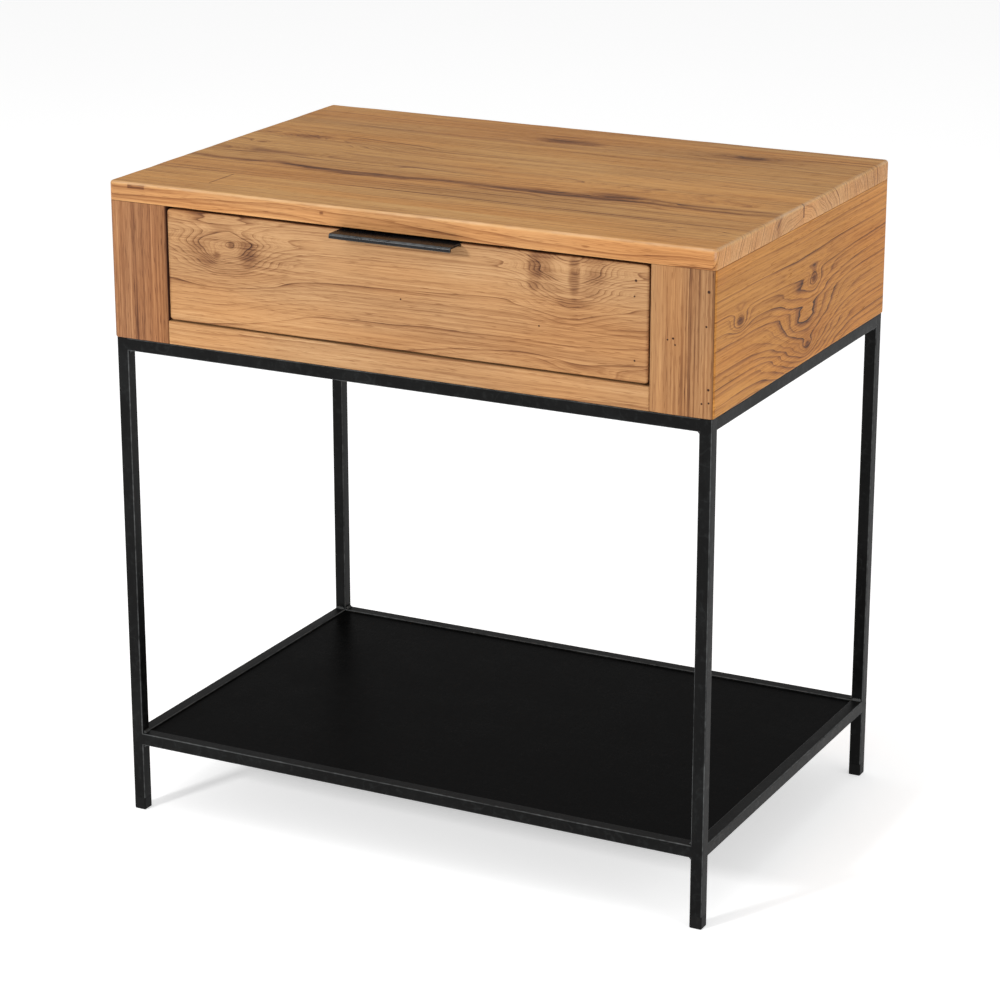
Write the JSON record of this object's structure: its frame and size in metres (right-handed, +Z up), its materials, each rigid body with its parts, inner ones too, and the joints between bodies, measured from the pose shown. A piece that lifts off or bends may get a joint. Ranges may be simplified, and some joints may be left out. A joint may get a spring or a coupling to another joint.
{
  "type": "side table with drawer",
  "caption": "Teak box with an inset drawer on ball-bearing runners, on a slim black square-tube frame with a low steel shelf.",
  "frame": {"origin": "on the floor, under the middle of the bounding box, which reaches from the drawer pull to the back panel", "axes": "+Z up, +X to the right of someone facing the drawer, +Y from the drawer towards the back"},
  "size_m": [0.6, 0.425, 0.619],
  "materials": {
    "top_teak": "oiled, satin; glued staves with knots and dark streaks",
    "side_teak": "oiled, satin; wide boards, more orange",
    "stile_teak": "oiled, satin; straight grain",
    "drawer_teak": "oiled, satin; wild grain with knots",
    "drawer_wood": "plain, sanded",
    "black_steel": "black satin coat with hand-finished marks",
    "shelf_steel": "black satin coat, smooth sheet",
    "pull_steel": "black satin coat, worn bright at the edge",
    "cap_plastic": "moulded black",
    "zinc": "zinc plated",
    "black_screw": "blackened steel"
  },
  "bodies": {
    "table": {"back_panel": "side_teak", "bottom_panel": "side_teak", "cabinet_runner_left": "zinc", "cabinet_runner_right": "zinc", "cabinet_runner_screw_back_left": "black_screw", "cabinet_runner_screw_back_right": "black_screw", "cabinet_runner_screw_front_left": "black_screw", "cabinet_runner_screw_front_right": "black_screw", "foot_cap_back_left": "cap_plastic", "foot_cap_back_right": "cap_plastic", "foot_cap_front_left": "cap_plastic", "foot_cap_front_right": "cap_plastic", "frame_screw_back_left": "black_screw", "frame_screw_back_right": "black_screw", "frame_screw_front_left": "black_screw", "frame_screw_front_right": "black_screw", "front_rail": "stile_teak", "front_stile_left": "stile_teak", "front_stile_right": "stile_teak", "leg_back_left": "black_steel", "leg_back_right": "black_steel", "leg_front_left": "black_steel", "leg_front_right": "black_steel", "runner_block_left": "drawer_wood", "runner_block_right": "drawer_wood", "shelf_plate": "shelf_steel", "shelf_rail_back": "black_steel", "shelf_rail_front": "black_steel", "shelf_rail_left": "black_steel", "shelf_rail_right": "black_steel", "side_panel_left": "side_teak", "side_panel_right": "side_teak", "top_board": "top_teak", "top_rail_back": "black_steel", "top_rail_front": "black_steel", "top_rail_left": "black_steel", "top_rail_right": "black_steel"},
    "drawer": {"drawer_back": "drawer_wood", "drawer_bottom": "drawer_wood", "drawer_front": "drawer_teak", "drawer_pull": "pull_steel", "drawer_runner_left": "zinc", "drawer_runner_right": "zinc", "drawer_runner_screw_back_left": "black_screw", "drawer_runner_screw_back_right": "black_screw", "drawer_runner_screw_front_left": "black_screw", "drawer_runner_screw_front_right": "black_screw", "drawer_side_left": "drawer_wood", "drawer_side_right": "drawer_wood", "pull_screw_left": "black_screw", "pull_screw_right": "black_screw"},
    "inner_ball_cage_left": {"inner_ball_cage_left": "zinc"},
    "inner_ball_cage_right": {"inner_ball_cage_right": "zinc"},
    "middle_runner_left": {"middle_runner_left": "zinc"},
    "middle_runner_right": {"middle_runner_right": "zinc"},
    "outer_ball_cage_left": {"outer_ball_cage_left": "zinc"},
    "outer_ball_cage_right": {"outer_ball_cage_right": "zinc"}
  },
  "joints": [
    {"name": "drawer_slide", "type": "slide", "parent": "table", "child": "drawer", "axis": [0, -1, 0], "range_m": [0, 0.33]},
    {"name": "inner_ball_cage_left_slide", "type": "slide", "parent": "table", "child": "inner_ball_cage_left", "axis": [0, -1, 0], "range_m": [0, 0.2475]},
    {"name": "inner_ball_cage_right_slide", "type": "slide", "parent": "table", "child": "inner_ball_cage_right", "axis": [0, -1, 0], "range_m": [0, 0.2475]},
    {"name": "middle_runner_left_slide", "type": "slide", "parent": "table", "child": "middle_runner_left", "axis": [0, -1, 0], "range_m": [0, 0.165]},
    {"name": "middle_runner_right_slide", "type": "slide", "parent": "table", "child": "middle_runner_right", "axis": [0, -1, 0], "range_m": [0, 0.165]},
    {"name": "outer_ball_cage_left_slide", "type": "slide", "parent": "table", "child": "outer_ball_cage_left", "axis": [0, -1, 0], "range_m": [0, 0.0825]},
    {"name": "outer_ball_cage_right_slide", "type": "slide", "parent": "table", "child": "outer_ball_cage_right", "axis": [0, -1, 0], "range_m": [0, 0.0825]}
  ],
  "couplings": [
    {"joint": "inner_ball_cage_left_slide", "follows": "drawer_slide", "ratio": 0.75},
    {"joint": "inner_ball_cage_right_slide", "follows": "drawer_slide", "ratio": 0.75},
    {"joint": "middle_runner_left_slide", "follows": "drawer_slide", "ratio": 0.5},
    {"joint": "middle_runner_right_slide", "follows": "drawer_slide", "ratio": 0.5},
    {"joint": "outer_ball_cage_left_slide", "follows": "drawer_slide", "ratio": 0.25},
    {"joint": "outer_ball_cage_right_slide", "follows": "drawer_slide", "ratio": 0.25}
  ]
}
